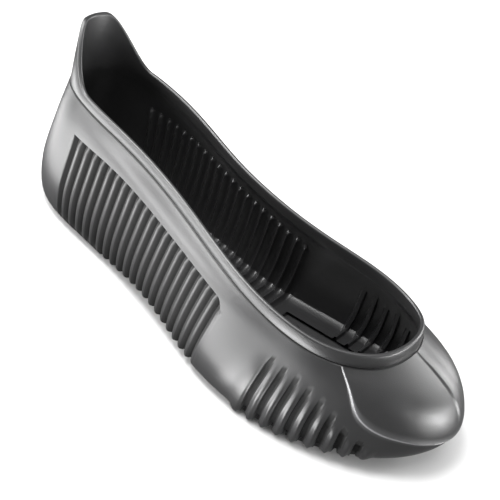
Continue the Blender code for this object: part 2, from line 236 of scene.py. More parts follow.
def floor_height(x):
    """Underside of the moulded floor above the ground."""
    heel = np.clip((HEEL_BEVEL_RUN[0] - x) / (HEEL_BEVEL_RUN[0] - HEEL_BEVEL_RUN[1]), 0.0, 1.0)
    toe = np.clip((x - TOE_SPRING_RUN[0]) / (TOE_SPRING_RUN[1] - TOE_SPRING_RUN[0]), 0.0, 1.0)
    arch = np.clip((x - ARCH_RUN[0]) / (ARCH_RUN[1] - ARCH_RUN[0]), 0.0, 1.0)
    rise = ARCH * np.sin(math.pi * arch) ** 2
    return FLOOR_BASE + HEEL_BEVEL * heel**2 + rise + TOE_SPRING * toe**2


def level_value(field, at):
    """One column of the table at any place round the last."""
    values, slopes = LAST_CURVES[field]
    first = np.floor(at).astype(int) % ROUND
    after = (first + 1) % ROUND
    return cubic_curve(values[first], values[after], slopes[first], slopes[after], at - np.floor(at))


def level_point(level, at):
    """Points of one level. A whole place is a section, along the right side and back along the left."""
    x = level_value(level + "_x", at)
    half = level_value(level + "_half", at)
    z = floor_height(x) if level == "sole" else level_value(level + "_z", at)
    return np.stack([x, centre_line(x) - half, z], axis=-1)


def outward(at):
    """Level direction square to the sole edge."""
    along = level_point("sole", at + SMALL_STEP) - level_point("sole", at - SMALL_STEP)
    away = np.stack([along[..., 1], -along[..., 0], np.zeros_like(at)], axis=-1)
    return away / np.linalg.norm(away, axis=-1, keepdims=True)


def last_point(at, row):
    """Points of the outer form. The row runs from 0 at the sole edge to 3 at the groove line."""
    levels = [level_point(level, at) for level in LEVELS]
    slopes = (
        outward(at) * CORNER_PULL,
        (levels[2] - levels[0]) / 2.0,
        (levels[3] - levels[1]) / 2.0,
        levels[3] - levels[2],
    )
    point = np.zeros_like(levels[0])
    for first in range(RIM_ROW):
        here = (row >= first) & ((row < first + 1) | (first == RIM_ROW - 1))
        share = (row - first)[..., None]
        piece = cubic_curve(levels[first], levels[first + 1], slopes[first], slopes[first + 1], share)
        point = np.where(here[..., None], piece, point)
    return point


def last_normal(at, row):
    """Direction square to the outer form, away from the foot."""
    along = last_point(at + SMALL_STEP, row) - last_point(at - SMALL_STEP, row)
    above = last_point(at, np.minimum(row + SMALL_STEP, RIM_ROW))
    across = np.cross(along, above - last_point(at, np.maximum(row - SMALL_STEP, 0.0)))
    return across / np.linalg.norm(across, axis=-1, keepdims=True)


SOLE_PLACES = np.linspace(0.0, TOE_PLACE, SOLE_SAMPLES)
SOLE_LINE = level_point("sole", SOLE_PLACES)


def place_of(x):
    """The place along the right side of the last where the sole edge is at x."""
    return np.interp(x, SOLE_LINE[:, 0], SOLE_PLACES)


def right_side(at):
    """The place on the right side, for a place on the left the one across from it."""
    return np.where(at > TOE_PLACE, ROUND - at, at)


def cap_edge_row(at):
    """The row of the toe cap's edge: down from the rim at the side, then round the toe."""
    past = np.maximum(right_side(at) - CAP_PLACE, 0.0)
    toe = CAP_TOE_DROP * smooth_step(*CAP_TOE_RUN, right_side(at))
    return CAP_FRONT_ROW + (RIM_ROW - CAP_FRONT_ROW) / np.sqrt(1.0 + past / CAP_DROP) - toe


def rib_top_row(x):
    """The row of the lower edge of the smooth side band, rounded off where the ribs end."""
    behind = smooth_step(RIB_END - RIB_CORNER, RIB_END, x)
    ahead = smooth_step(RIB_END + RIB_CORNER, RIB_END, x)
    return SIDE_BAND_ROW - RIB_CORNER_DROP * behind * behind * ahead


def edge_row(at):
    """The row that has to stay crisp: the top of the ribs, and further forward the toe cap's edge."""
    x = level_value("sole_x", at)
    cap_x = float(level_value("sole_x", np.array(CAP_PLACE)))
    rise = (RIM_ROW - SIDE_BAND_ROW) * smooth_step(RIB_END, cap_x, x)
    return np.where(right_side(at) < CAP_PLACE, rib_top_row(x) + rise, cap_edge_row(at))


def rib_ends(x):
    """1 along the row of ribs, and 0 beyond its two ends."""
    rear = smooth_step(RIB_START, RIB_START + RIB_END_RUN, x)
    return rear * smooth_step(RIB_END, RIB_END - RIB_END_RUN, x)


def rib_valley(x):
    """The concertina's profile, from 0 on its full, rounded crests to 1 in its narrow valleys."""
    turn = (x - RIB_START) / RIB_PITCH - RIB_VALLEY
    from_crest = 1.0 - 2.0 * np.abs(turn - np.rint(turn))
    bend = np.sqrt(from_crest**2 + RIB_ROUNDING**2) - RIB_ROUNDING
    straight = bend / (math.sqrt(1.0 + RIB_ROUNDING**2) - RIB_ROUNDING)
    full = 1.0 - np.sqrt(np.maximum(1.0 - from_crest**2, 0.0))
    return rib_ends(x) * (straight + (full - straight) * RIB_FULLNESS)


def rib_depth(x, row, deepest_dip, top_rows):
    """How deep the concertina is pressed in, with a dip of its crests and a top edge over some rows."""
    top = rib_top_row(x)
    dip = deepest_dip * smooth_step(top - RIB_DIP_ROWS[0], top - RIB_DIP_ROWS[1], row)
    over_heel_pad = smooth_step(HEEL_PAD_FRONT + HEEL_RIB_FADE, HEEL_PAD_FRONT - HEEL_RIB_FADE, x)
    foot = 1.0 - over_heel_pad * (1.0 - smooth_step(*HEEL_RIB_FOOT, row))
    depth = (dip * rib_ends(x) + (RIB_DEPTH - dip) * rib_valley(x)) * foot
    return np.where((x > RIB_START) & (x < RIB_END), depth * smooth_step(top, top - top_rows, row), 0.0)


def flute_places(x, row):
    """How far below the line of the grooves' tips a spot is, and how far from the middle of its groove."""
    turn = (x - FLUTE_START) / FLUTE_PITCH
    along = np.clip((turn - 0.5) / (FLUTE_COUNT - 1.0), 0.0, 1.0)
    tip = FLUTE_TIP - FLUTE_TIP_DROP * along**FLUTE_TIP_POWER
    below = np.clip((tip - row) / tip, 0.0, 1.0)
    return turn, below, 2.0 * np.abs(turn - np.floor(turn) - 0.5)


def flute_groove(x, row, tip_run):
    """The leaf-shaped grooves of the forefoot side, 1 on their beds, with tips that run out."""
    turn, below, off = flute_places(x, row)
    half = FLUTE_SHARE * np.sin(0.5 * math.pi * np.clip(below / FLUTE_WIDEST, 0.0, 1.0))
    half = half * (1.0 - FLUTE_PINCH * smooth_step(FLUTE_PINCH_ROWS, 0.0, row))
    groove = 1.0 - smooth_step(FLUTE_BED, 1.0, off / np.maximum(half, SMALL_STEP))
    return groove * smooth_step(0.0, tip_run, below) * (turn > 0.0) * (turn < FLUTE_COUNT)


def flute_ribs(x, row):
    """How far the ribs between those grooves stand proud, with a long slope behind the first one."""
    turn, below, off = flute_places(x, row)
    first = smooth_step(-FLUTE_LEAD, 0.0, turn)
    last = smooth_step(FLUTE_COUNT + FLUTE_SHOULDER, FLUTE_COUNT, turn)
    shoulders = smooth_step(FLUTE_SHARE, FLUTE_SHARE + FLUTE_SHOULDER, off)
    ribs = first * last * np.where((turn > 0.0) & (turn < FLUTE_COUNT), shoulders, 1.0)
    return FLUTE_CREST * ribs * smooth_step(0.0, FLUTE_CREST_RUN, below)


def recess_dull_and_shade(x, row):
    """Where the rubber is dull because nothing rubs on it, and its colour is painted darker as shade: the
    flanks of the ribs, and the grooves.
    """
    flanks = smooth_step(*RIB_DULL_AND_SHADE, rib_valley(x)) * (x > RIB_START) * (x < RIB_END)
    grooves = smooth_step(*FLUTE_DULL_AND_SHADE, flute_groove(x, row - FLUTE_DULL_AND_SHADE_ROWS, FLUTE_TIP_INSIDE))
    return np.maximum(flanks * (row < rib_top_row(x)), grooves)


def flute_sag(x, row):
    """How much lower than the sole edge the rounded ends of those ribs hang."""
    turn, _, off = flute_places(x, row)
    from_rib = np.clip((1.0 - off) / FLUTE_SAG_SHARE, 0.0, 1.0)
    ends = np.sqrt(1.0 - from_rib**2) * (turn > -0.5) * (turn < FLUTE_COUNT + 0.5)
    sag = np.interp(turn, (0.0, FLUTE_COUNT), FLUTE_SAGS)
    return sag * ends * smooth_step(FLUTE_SAG_ROWS, 0.0, row)


def above_cap_edge(at, row):
    """How far above the toe cap's edge a spot is, in millimetres square to that edge."""
    slope = (cap_edge_row(at + SMALL_STEP) - cap_edge_row(at - SMALL_STEP)) / (2.0 * SMALL_STEP)
    return (row - cap_edge_row(at)) / np.hypot(1.0 / ROW_SPAN, slope / PLACE_SPAN)


def cap_bead(at, row):
    """The fine bead along the toe cap's edge, 1 on its crest."""
    return np.exp(-((above_cap_edge(at, row) / CAP_BEAD_HALF) ** 2)) * (right_side(at) > CAP_PLACE)


def cap_lift(at, row, point):
    """How far the toe cap and its spine stand proud. The spine is steeper on the outer side of the foot."""
    capped = smooth_step(-CAP_RAMP, CAP_RAMP, above_cap_edge(at, row)) * (right_side(at) > CAP_PLACE)
    off = point[..., 1] - centre_line(point[..., 0]) - SPINE_SHIFT
    foot = np.where(off < 0.0, SPINE_NEAR_HALF, SPINE_FAR_HALF)
    fade = smooth_step(*SPINE_FADE_ROWS, row)
    spine = SPINE_HEIGHT * fade * (1.0 - smooth_step(SPINE_CREST_HALF, foot, np.abs(off)))
    share = 1.0 - (1.0 - CAP_SHARE_AT_RIM) * smooth_step(*CAP_RIM_ROWS, row)
    return (capped * (CAP_STEP + spine) + CAP_BEAD * cap_bead(at, row)) * share


def rib_lean(top_x, row):
    """How much further forward the foot of each rib lies than its top, most at the heel."""
    before = smooth_step(RIB_LEAN_FROM, RIB_START, top_x)
    after = np.clip((RIB_END - top_x) / (RIB_END - RIB_START), 0.0, 1.0)
    return RIB_LEAN * before * after * np.clip(1.0 - row / SIDE_BAND_ROW, 0.0, 1.0)


# Columns of the wall, close together where the relief is fine
COLUMNS_PER_RIB = 14
COLUMNS_PER_FLUTE = 16
HEEL_COLUMNS = 40
PANEL_COLUMNS = 24
TOE_COLUMNS = 96
heel_places = np.linspace(0.0, place_of(RIB_START), HEEL_COLUMNS, endpoint=False)
rib_x = np.linspace(RIB_START, RIB_END, RIB_COUNT * COLUMNS_PER_RIB, endpoint=False)
panel_x = np.linspace(RIB_END, FLUTE_START, PANEL_COLUMNS, endpoint=False)
flute_x = np.linspace(FLUTE_START, FLUTE_END, FLUTE_COUNT * COLUMNS_PER_FLUTE, endpoint=False)
toe_places = np.linspace(place_of(FLUTE_END), TOE_PLACE, TOE_COLUMNS + 1)
side_places = place_of(np.concatenate([rib_x, panel_x, flute_x]))
right_places = np.concatenate([heel_places, side_places, toe_places])
all_places = np.concatenate([right_places, ROUND - right_places[-2::-1]])

# Rows of the wall: shares of the way up to its crisp edge, rows about that edge, and shares of the way on
CORNER_SHARE = 0.16
CORNER_ROWS = 5
SIDE_ROWS = 16
UPPER_ROWS = 11
RIDGE_TOP_SHARES = (0.97, 0.985)
EDGE_HALF = 0.04
ROWS_AT_EDGE = np.array([-0.022, -0.008, 0.008, 0.022])
corner_shares = np.linspace(0.0, CORNER_SHARE, CORNER_ROWS, endpoint=False)
rows_below = np.concatenate([corner_shares, np.linspace(CORNER_SHARE, 1.0, SIDE_ROWS)])
rows_below_inside = np.sort(np.append(rows_below[::2], RIDGE_TOP_SHARES))
rows_above = np.linspace(0.0, 1.0, UPPER_ROWS)


def wall_rows(below, above):
    """Rows from the sole edge to the groove line for each column, with more of them at the crisp edge."""
    edge = np.minimum(edge_row(all_places), RIM_ROW - EDGE_HALF)[None, :]
    low = below[:, None] * (edge - EDGE_HALF)
    high = edge + EDGE_HALF + above[:, None] * (RIM_ROW - edge - EDGE_HALF)
    return np.concatenate([low, edge + ROWS_AT_EDGE[:, None], high])


def wall_places(rows):
    """For a table of rows and columns, each column's x, and the places that the ribs' slant leads to."""
    x = np.broadcast_to(level_value("sole_x", all_places), rows.shape)
    leaned = place_of(x + rib_lean(x, rows))
    leaned = np.where(all_places > TOE_PLACE, ROUND - leaned, leaned)
    return x, np.where((x > RIB_LEAN_FROM) & (x < RIB_END), leaned, all_places)


def outer_points(rows):
    """The outer face of the wall."""
    x, at = wall_places(rows)
    form = last_point(at, rows)
    proud = cap_lift(at, rows, form) + flute_ribs(x, rows)
    grooves = FLUTE_DEPTH * flute_groove(x, rows, FLUTE_TIP_OUTSIDE)
    ribs = rib_depth(x, rows, RIB_DIP, RIB_TOP_OUTSIDE)
    outer = form + last_normal(at, rows) * (proud - grooves - ribs)[..., None]
    outer[..., 2] -= flute_sag(x, rows)
    return outer


def outer_marks(rows):
    """Where a pale highlight is painted along the bead, and where the outer face is recessed, dull and
    painted darker as shade.
    """
    x, at = wall_places(rows)
    return {"painted_bead_highlight": cap_bead(at, rows), "recess_dull_and_shade": recess_dull_and_shade(x, rows)}


def ridged_points(rows):
    """The inner face of the wall, with a ridge behind each groove and each valley between ribs."""
    x, at = wall_places(rows)
    grooves = FLUTE_DEPTH * flute_groove(x, rows, FLUTE_TIP_INSIDE)
    ribs = rib_depth(x, rows, 0.0, RIB_TOP_INSIDE)
    return last_point(at, rows) - last_normal(at, rows) * (WALL + grooves + ribs)[..., None]


def inner_points(rows):
    """The inner face of the wall with the rounded corner below it, from the floor upwards."""
    wall = ridged_points(np.maximum(rows, INNER_ROUND_ROW))
    edge = ridged_points(np.zeros((1, len(all_places))))[0]
    on_floor = edge - outward(all_places) * INNER_ROUND
    corner = np.concatenate([wall[0][:, :2], edge[:, 2:]], axis=1)
    share = np.linspace(0.0, 1.0, INNER_ROUND_STEPS, endpoint=False)[:, None, None]
    middle = (on_floor + wall[0]) / 2.0
    pulled = middle + (corner - middle) * INNER_ROUND_PULL
    bend = (1.0 - share) ** 2 * on_floor + 2.0 * share * (1.0 - share) * pulled + share**2 * wall[0]
    return np.concatenate([bend, wall])


def collar_points():
    """The groove, the rolled band above it and the pull tab, from outside to inside."""
    top = np.full_like(all_places, float(RIM_ROW))
    rim = last_point(all_places, top)
    away = last_normal(all_places, top) * np.array([1.0, 1.0, 0.0])
    away = away / np.linalg.norm(away, axis=-1, keepdims=True)
    leaning = rim - last_point(all_places, top - BAND_LEAN_ROWS)
    up = leaning / np.linalg.norm(leaning, axis=-1, keepdims=True) + np.array([0.0, 0.0, BAND_UPRIGHT])
    from_heel = np.linalg.norm((rim - rim[0])[:, :2], axis=-1)
    tab = 1.0 - smooth_step(TAB_TOP_HALF, TAB_FOOT_HALF, from_heel)
    up = up / np.linalg.norm(up, axis=-1, keepdims=True) - tab[:, None] * np.array([TAB_LEAN, 0.0, 0.0])
    front = smooth_step(*BAND_FRONT_RUN, rim[:, 0])
    height = BAND_HEIGHT + BAND_EXTRA_FRONT * front + TAB_HEIGHT * tab
    shoulder = height - BAND_ROUND
    level = np.ones_like(height)
    places = [(inwards * level, rise * level) for inwards, rise in GROOVE_PROFILE]
    places.append(((BAND_OUTSIDE - BAND_CROWN) * level, (GROOVE_PROFILE[-1][1] + shoulder) / 2.0))
    middle = (BAND_OUTSIDE + BAND_INSIDE) / 2.0
    half = (BAND_INSIDE - BAND_OUTSIDE) / 2.0
    for turn in np.linspace(0.0, math.pi, BAND_TOP_STEPS):
        places.append(((middle - half * math.cos(turn)) * level, shoulder + BAND_ROUND * math.sin(turn)))
    places.append((BAND_INSIDE * level, 0.0 * level))
    return np.array([rim - away * inwards[:, None] + up * rise[:, None] for inwards, rise in places])


# Vertex marks: a pale painted highlight along the toe cap's bead, and dull recesses painted darker as shade
MARKS = ("painted_bead_highlight", "recess_dull_and_shade")


def shaped_grid(points, marks):
    """A grid whose vertices lie at a table of points, in millimetres, and keep the named tables of marks."""
    rows, columns = points.shape[:2]
    bm = bmesh.new()
    layers = [bm.verts.layers.float.new(name) for name in MARKS]
    bmesh.ops.create_grid(bm, x_segments=columns - 1, y_segments=rows - 1, size=0.5)
    places = np.array([vertex.co[:2] for vertex in bm.verts]) + 0.5
    across = np.rint(places[:, 0] * (columns - 1)).astype(int)
    along = np.rint(places[:, 1] * (rows - 1)).astype(int)
    shares = np.stack([marks[name][along, across] for name in MARKS], axis=-1)
    for vertex, spot, share in zip(bm.verts, points[along, across] * MM, shares):
        vertex.co = spot
        for layer, value in zip(layers, share):
            vertex[layer] = value
    return bm


FLOOR_SHARES = np.array([0.0, 0.05, 0.1, 0.3, 0.5, 0.7, 0.9, 0.95, 1.0])


def floor_points(edge):
    """Points across the floor between the right and the left half of an edge."""
    count = len(right_places)
    right = edge[:count]
    left = edge[-1 : count - 2 : -1]
    return right + (left - right) * FLOOR_SHARES[:, None, None]


def in_window(spot):
    """Whether a spot of the floor, in millimetres, is inside one of the two windows over the tread pads."""
    middle = centre_line(spot[0])
    half = middle - np.interp(spot[0], SOLE_LINE[:, 0], SOLE_LINE[:, 1])
    along = any(low < spot[0] < high for low, high in (HEEL_WINDOW, FOREFOOT_WINDOW))
    return along and abs(spot[1] - middle) < WINDOW_SHARE * half


def add_mesh(bm, other):
    """Copies one mesh into another and frees it."""
    carrier = bpy.data.meshes.new("carrier")
    other.to_mesh(carrier)
    other.free()
    bm.from_mesh(carrier)
    bpy.data.meshes.remove(carrier)


outer_rows = wall_rows(rows_below, rows_above)
outer_wall = outer_points(outer_rows)
inner_wall = inner_points(wall_rows(rows_below_inside, rows_above[::2]))
shell_points = np.concatenate([outer_wall, collar_points(), inner_wall[-2::-1]])
shell_marks = {name: np.zeros(shell_points.shape[:2]) for name in MARKS}
for name, shares in outer_marks(outer_rows).items():
    shell_marks[name][: len(outer_wall)] = shares
shell = shaped_grid(shell_points, shell_marks)

# The outer and the inner face of the floor, both cut open at the windows over the tread pads
window_faces = set()
for edge in (outer_wall[0], inner_wall[0]):
    across_floor = floor_points(edge)
    plain = np.zeros(across_floor.shape[:2])
    floor = shaped_grid(across_floor, {name: plain for name in MARKS})
    if not window_faces:
        inside = [in_window(face.calc_center_median() / MM) for face in floor.faces]
        window_faces = {number for number, found in enumerate(inside) if found}
    cut = [face for number, face in enumerate(floor.faces) if number in window_faces]
    bmesh.ops.delete(floor, geom=cut, context="FACES")
    add_mesh(shell, floor)

WELD = 0.00001
bmesh.ops.remove_doubles(shell, verts=shell.verts[:], dist=WELD)

# The edge of each window, which joins both faces
rims = [edge for edge in shell.edges if edge.is_boundary]
between_windows = (HEEL_WINDOW[1] + FOREFOOT_WINDOW[0]) / 2.0 * MM
for in_front in (False, True):
    rim = [edge for edge in rims if (edge.verts[0].co.x > between_windows) == in_front]
    bmesh.ops.bridge_loops(shell, edges=rim)
bmesh.ops.recalc_face_normals(shell, faces=shell.faces[:])

# The last's origin in the frame: the shell and the node that it stands for share the middle of their boxes
corners = np.array([vertex.co for vertex in shell.verts])
form_middle = (corners.min(axis=0) + corners.max(axis=0)) / 2.0
node_middle = np.mean(np.array(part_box("upper")), axis=0)
LAST_ORIGIN = Vector((node_middle[0] - form_middle[0], node_middle[1] - form_middle[1], 0.0))
bmesh.ops.translate(shell, verts=shell.verts[:], vec=LAST_ORIGIN)


def add_piece(name, bm, material, sharp_angle):
    """Turns a mesh into a piece that is smooth but for its edges beyond an angle, in degrees."""
    mesh = bpy.data.meshes.new(name)
    bm.to_mesh(mesh)
    bm.free()
    mesh.shade_smooth()
    mesh.set_sharp_from_angle(angle=math.radians(sharp_angle))
    mesh.materials.append(material)
    piece = bpy.data.objects.new(name, mesh)
    bpy.context.scene.collection.objects.link(piece)
    return piece


class Signal:
    """A socket in a material. Arithmetic on it adds Math nodes, and node() adds any other kind."""

    def __init__(self, tree, socket):
        self.tree = tree
        self.socket = socket

    def node(self, kind, output=0, settings=None, **sockets):
        """Adds a node. Each keyword is the name of an input, or the letter i and its number."""
        made = self.tree.nodes.new(kind)
        for name, value in (settings or {}).items():
            setattr(made, name, value)
        for name, value in sockets.items():
            plug = made.inputs[int(name[1:])] if name[1:].isdigit() else made.inputs[name]
            if isinstance(value, Signal):
                self.tree.links.new(value.socket, plug)
            else:
                plug.default_value = value
        return Signal(self.tree, made.outputs[output])

    def maths(self, operation, first, second):
        return self.node("ShaderNodeMath", settings={"operation": operation}, i0=first, i1=second)

    def __add__(self, other):
        return self.maths("ADD", self, other)

    def __radd__(self, other):
        return self.maths("ADD", other, self)

    def __sub__(self, other):
        return self.maths("SUBTRACT", self, other)

    def __rsub__(self, other):
        return self.maths("SUBTRACT", other, self)

    def __mul__(self, other):
        return self.maths("MULTIPLY", self, other)

    def __rmul__(self, other):
        return self.maths("MULTIPLY", other, self)


GRAIN_SCALE = 2200.0
GRAIN_DETAIL = 3.0
GRAIN_BREAKUP = 0.6
GRAIN_HEIGHT = 0.0002
GRAIN_GLOSS = 0.06
CLOUD_SCALE = 55.0
CLOUD_DETAIL = 4.0
CLOUD_BREAKUP = 0.55
CLOUD_DARKEST = 0.8
CLOUD_RANGE = 0.4
CLOUD_GLOSS = 0.1
BLOOM_BLUE = 1.03
# The pale grey painted along the toe cap's real bead as its highlight
BEAD_HIGHLIGHT_GREY = 0.2
DULL_ROUGHNESS = 0.95
# Painted shade: how much darker the colour of the rib flanks and the grooves is painted
RECESS_SHADE_DARKENING = 0.9


def rubber(name, grey, roughness, grain, specular):
    """Moulded rubber: a fine grain, a slight unevenness of tone and gloss, a pale painted highlight on the
    bead, dull recesses painted darker as shade.
    """
    material = bpy.data.materials.new(name)
    material.use_nodes = True
    tree = material.node_tree
    shader = tree.nodes["Principled BSDF"]
    shader.inputs["Specular IOR Level"].default_value = specular
    place = Signal(tree, tree.nodes.new("ShaderNodeTexCoord").outputs["Object"])
    fine = place.node(
        "ShaderNodeTexNoise", Vector=place, Scale=GRAIN_SCALE, Detail=GRAIN_DETAIL, Roughness=GRAIN_BREAKUP
    )
    cloudy = place.node(
        "ShaderNodeTexNoise", Vector=place, Scale=CLOUD_SCALE, Detail=CLOUD_DETAIL, Roughness=CLOUD_BREAKUP
    )
    painted_bead_highlight = place.node("ShaderNodeAttribute", output="Fac", settings={"attribute_name": "painted_bead_highlight"})
    dull_and_shade = place.node("ShaderNodeAttribute", output="Fac", settings={"attribute_name": "recess_dull_and_shade"})
    # The colour of the recesses is painted darker as shade
    tone = grey * (CLOUD_DARKEST + CLOUD_RANGE * cloudy) * (1.0 - RECESS_SHADE_DARKENING * dull_and_shade)
    # A pale highlight is painted along the toe cap's bead
    tone = tone + (BEAD_HIGHLIGHT_GREY - grey) * painted_bead_highlight
    colour = place.node("ShaderNodeCombineColor", Red=tone, Green=tone, Blue=tone * BLOOM_BLUE)
    gloss = roughness + CLOUD_GLOSS * (cloudy - 0.5) + GRAIN_GLOSS * (fine - 0.5)
    gloss = gloss + (DULL_ROUGHNESS - roughness) * dull_and_shade
    bump = place.node("ShaderNodeBump", Strength=grain, Distance=GRAIN_HEIGHT, Height=fine)
    tree.links.new(colour.socket, shader.inputs["Base Color"])
    tree.links.new(gloss.socket, shader.inputs["Roughness"])
    tree.links.new(bump.socket, shader.inputs["Normal"])
    return material


SATIN_GREY = 0.017
SATIN_ROUGHNESS = 0.36
SATIN_GRAIN = 0.25
SATIN_SPECULAR = 0.7
SHELL_SHARP_ANGLE = 42.0
satin = rubber("satin_rubber", SATIN_GREY, SATIN_ROUGHNESS, SATIN_GRAIN, SATIN_SPECULAR)
upper = add_piece("upper_shell", shell, satin, SHELL_SHARP_ANGLE)
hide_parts("upper")
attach(upper, "root")

# The tread pads. Plates of dull black tread rubber, moulded under the forefoot and the heel, with square
# lugs that a thin curved cut splits in two, so that they grip a wet floor. They close the upper's floor.
PLATE = 1.5
LUG = 2.2
FLOOR_GAP = 0.3
TILE = 12.0
TILE_GROOVE = 1.8
GROOVE_HALF = TILE_GROOVE / TILE / 2.0
PAD_MARGIN = 3.5
FOREFOOT_PAD_REAR = 152.5
PAD_SAMPLES = 177
SIPE_WIDTH = 0.5
SIPE_HALF = SIPE_WIDTH / TILE / 2.0
SIPE_PLACE = 0.3
SIPE_BOW = 1.6
SIPE_STEPS = (-0.3, -0.1, 0.1, 0.3)
LUG_BEVEL = 0.25
LUG_RIM_ANGLE = 1.0
CUT_WELD = 0.001
PIP_RADIUS = 2.0
PIP_RISE = 1.3
PIP_PITCH = 11.0
PIP_SPREAD = 33.0


def pad_outline(first_x, last_x):
    """The edge of a tread pad, inside the sole edge by the margin, between two cross lines."""
    ends = [place_of(x) for x in (first_x, last_x) if SOLE_LINE[0, 0] < x < SOLE_LINE[-1, 0]]
    places = np.linspace(0.0, TOE_PLACE, PAD_SAMPLES)
    x = level_value("sole_x", places)
    right = np.sort(np.concatenate([places[(x > first_x) & (x < last_x)], ends]))
    left = [ROUND - at for at in right[::-1] if 0.0 < at < TOE_PLACE]
    around = np.concatenate([right, left])
    return level_point("sole", around) - outward(around) * PAD_MARGIN


def tile_share(value, origin):
    """Which tile a value lies in, and where in it, from -0.5 to 0.5, when grooves lie at the origin."""
    tile = math.floor((value - origin) / TILE)
    return tile, (value - origin) / TILE - tile - 0.5


def sipe_share(row):
    """Where the curved cut crosses the tiles of a row. It changes sides from row to row."""
    return SIPE_PLACE - 0.5 if row % 2 else 0.5 - SIPE_PLACE


def in_groove(share):
    """Whether a place in a tile lies in the groove along its sides."""
    return abs(share) > 0.5 - GROOVE_HALF


def extrude(bm, geometry, rise):
    """Extrudes faces straight up, or down where the rise is negative."""
    made = bmesh.ops.extrude_face_region(bm, geom=geometry)["geom"]
    moved = [part for part in made if isinstance(part, bmesh.types.BMVert)]
    bmesh.ops.translate(bm, verts=moved, vec=(0.0, 0.0, rise))


def cut_lines(bm, axis, places):
    """Cuts the plate along lines square to one axis."""
    square = Vector((1.0, 0.0, 0.0)) if axis == 0 else Vector((0.0, 1.0, 0.0))
    for place in places:
        geometry = bm.verts[:] + bm.edges[:] + bm.faces[:]
        bmesh.ops.bisect_plane(bm, geom=geometry, dist=CUT_WELD, plane_co=square * place, plane_no=square)


def cut_tiles(bm, origin, low, high):
    """Cuts the plate along the sides of its tiles' grooves and of the thin cut through each tile."""
    rows = range(tile_share(low[0], origin[0])[0], tile_share(high[0], origin[0])[0] + 1)
    files = range(tile_share(low[1], origin[1])[0], tile_share(high[1], origin[1])[0] + 1)
    for row in rows:
        sipe = sipe_share(row)
        shares = (GROOVE_HALF - 0.5, sipe - SIPE_HALF, sipe + SIPE_HALF, 0.5 - GROOVE_HALF)
        cut_lines(bm, 0, [origin[0] + (row + 0.5 + share) * TILE for share in shares])
    for file in files:
        shares = (GROOVE_HALF - 0.5,) + SIPE_STEPS + (0.5 - GROOVE_HALF,)
        cut_lines(bm, 1, [origin[1] + (file + 0.5 + share) * TILE for share in shares])


def lug_faces(bm, origin):
    """The faces that lie neither in a groove nor in a thin cut."""
    lugs = []
    for face in bm.faces:
        middle = face.calc_center_median()
        row, along = tile_share(middle.x, origin[0])
        across = tile_share(middle.y, origin[1])[1]
        in_sipe = abs(along - sipe_share(row)) < SIPE_HALF
        if not (in_groove(along) or in_groove(across) or in_sipe):
            lugs.append(face)
    return lugs


def bow_sipes(bm, origin):
    """Bows the thin cut through each tile, away from the tile's middle."""
    for vertex in bm.verts:
        row, along = tile_share(vertex.co.x, origin[0])
        across = tile_share(vertex.co.y, origin[1])[1]
        if abs(along - sipe_share(row)) < 2.0 * SIPE_HALF and not in_groove(across):
            bow = 1.0 - (across / (0.5 - GROOVE_HALF)) ** 2
            vertex.co.x += SIPE_BOW * bow * (1 if sipe_share(row) > 0.0 else -1)


def raise_lugs(bm, lugs):
    """Makes the plate solid, draws the lugs out below it and bevels their lower rims."""
    lug_edges = dict.fromkeys(edge for face in lugs for edge in face.edges)
    extrude(bm, bm.faces[:], PLATE)
    extrude(bm, lugs + list(lug_edges), -LUG)
    low_edges = [edge for edge in bm.edges if max(vertex.co.z for vertex in edge.verts) < -LUG / 2.0]
    rims = [edge for edge in low_edges if edge.calc_face_angle(0.0) > LUG_RIM_ANGLE]
    bmesh.ops.bevel(
        bm,
        geom=rims,
        offset=LUG_BEVEL,
        segments=1,
        profile=0.5,
        affect="EDGES",
        material=-1,
        clamp_overlap=True,
    )
    bmesh.ops.remove_doubles(bm, verts=bm.verts[:], dist=CUT_WELD)


def add_pips(bm):
    """Low round pips on the upper face of the forefoot pad, in staggered rows under the ball of the foot."""
    flat = Matrix.Diagonal((1.0, 1.0, PIP_RISE / PIP_RADIUS, 1.0))
    for row, x in enumerate(np.arange(*FOREFOOT_WINDOW, PIP_PITCH)):
        for step in np.arange(-PIP_SPREAD + PIP_PITCH / 2.0 * (row % 2), PIP_SPREAD, PIP_PITCH):
            y = centre_line(x) + step
            if in_window((x, y)):
                place = Matrix.Translation((x, y, floor_height(x) - FLOOR_GAP)) @ flat
                bmesh.ops.create_icosphere(bm, subdivisions=2, radius=PIP_RADIUS, matrix=place)


def tread_pad(first_x, last_x, tiles_from, pips):
    """A plate that follows the floor, with cut lugs on a square grid from one cross line on."""
    bm = bmesh.new()
    outline = pad_outline(first_x, last_x)
    bm.faces.new([bm.verts.new((x, y, 0.0)) for x, y, _ in outline])
    low = outline.min(axis=0)
    high = outline.max(axis=0)
    origin = (tiles_from, (low[1] + high[1] + TILE) / 2.0)
    cut_tiles(bm, origin, low, high)
    lugs = lug_faces(bm, origin)
    bow_sipes(bm, origin)
    raise_lugs(bm, lugs)
    for vertex in bm.verts:
        vertex.co.z += float(floor_height(np.array(vertex.co.x))) - FLOOR_GAP - PLATE
    if pips:
        add_pips(bm)
    bmesh.ops.scale(bm, verts=bm.verts[:], vec=(MM, MM, MM))
    bmesh.ops.translate(bm, verts=bm.verts[:], vec=LAST_ORIGIN)
    bmesh.ops.recalc_face_normals(bm, faces=bm.faces[:])
    return bm


